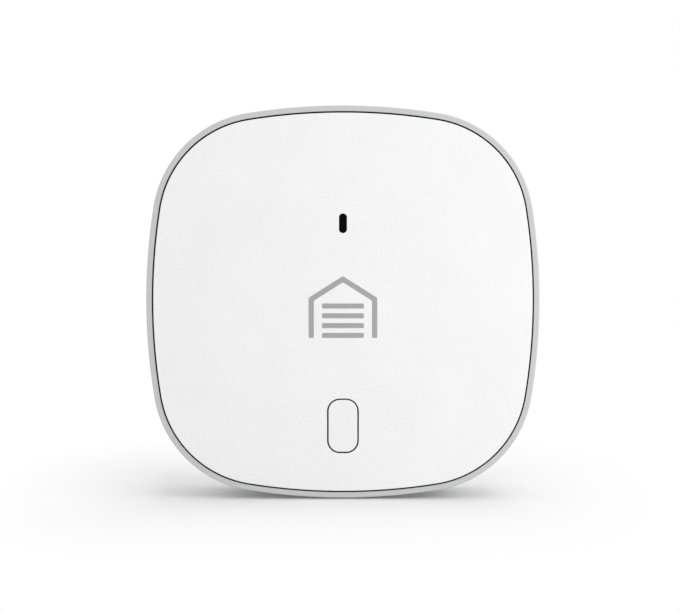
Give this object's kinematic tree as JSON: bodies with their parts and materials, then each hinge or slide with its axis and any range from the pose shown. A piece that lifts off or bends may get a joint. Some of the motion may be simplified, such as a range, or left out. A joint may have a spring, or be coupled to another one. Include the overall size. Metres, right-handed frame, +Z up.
{
  "type": "garage door controller",
  "caption": "Square wall hub with bowed sides and rounded corners, a flush face with a setup button and a status light slot, and a slide-on wall bracket with a spring latch.",
  "frame": {"origin": "on the floor under the middle of the hub: centred across and from front to back, at the lowest point", "axes": "+X to the right as seen from the front, +Y from the face to the wall, +Z up"},
  "size_m": [0.094, 0.027, 0.094],
  "materials": {
    "face_white": "fine matte texture",
    "button_white": "matte",
    "rim_grey": "satin",
    "cover_white": "matte",
    "bracket_white": "matte",
    "seal_black": "matte",
    "window_black": "gloss",
    "pipe_clear": "clear",
    "moulding_black": "matte",
    "led_body": "gloss",
    "switch_steel": "bright",
    "screw_steel": "zinc plated",
    "socket_steel": "tin plated",
    "board_green": "solder mask",
    "contact_brass": "bright",
    "can_aluminium": "satin",
    "coil_grey": "matte",
    "chip_black": "matte",
    "ceramic_tan": "satin"
  },
  "bodies": {
    "bracket": {"bracket_plate": "bracket_white", "latch_tongue": "bracket_white"},
    "hub": {"face_plate": "face_white", "rim_housing": "rim_grey", "face_seal": "seal_black", "rear_cover": "cover_white", "rear_screws": "screw_steel", "status_window": "window_black", "light_pipe": "pipe_clear", "light_shroud": "moulding_black", "status_leds": "led_body", "switch_dome": "switch_steel", "switch_base": "moulding_black", "switch_cover": "switch_steel", "switch_legs": "switch_steel", "circuit_board": "board_green", "board_screws": "screw_steel", "radio_board": "board_green", "radio_shield": "socket_steel", "antenna_strip": "contact_brass", "buzzer_case": "moulding_black", "buzzer_disc": "contact_brass", "socket_shell": "socket_steel", "socket_tongue": "moulding_black", "socket_contacts": "contact_brass", "capacitor_cans": "can_aluminium", "capacitor_bases": "moulding_black", "coil_body": "coil_grey", "regulator_chip": "chip_black", "processor_chip": "chip_black", "processor_leads": "socket_steel", "memory_chip": "chip_black", "crystal_can": "socket_steel", "chip_resistors": "chip_black", "chip_capacitors": "ceramic_tan"},
    "button": {"setup_button": "button_white", "switch_plunger": "moulding_black"}
  },
  "joints": [
    {"name": "hub_slide", "type": "slide", "parent": "bracket", "child": "hub", "axis": [0, 0, 1], "range_m": [0, 0.067], "deforming": ["latch_tongue"]},
    {"name": "button_press", "type": "slide", "parent": "hub", "child": "button", "axis": [0, 1, 0], "range_m": [0, 0.0005], "stiffness_N_per_m": 3600, "deforming": ["switch_dome"]}
  ]
}
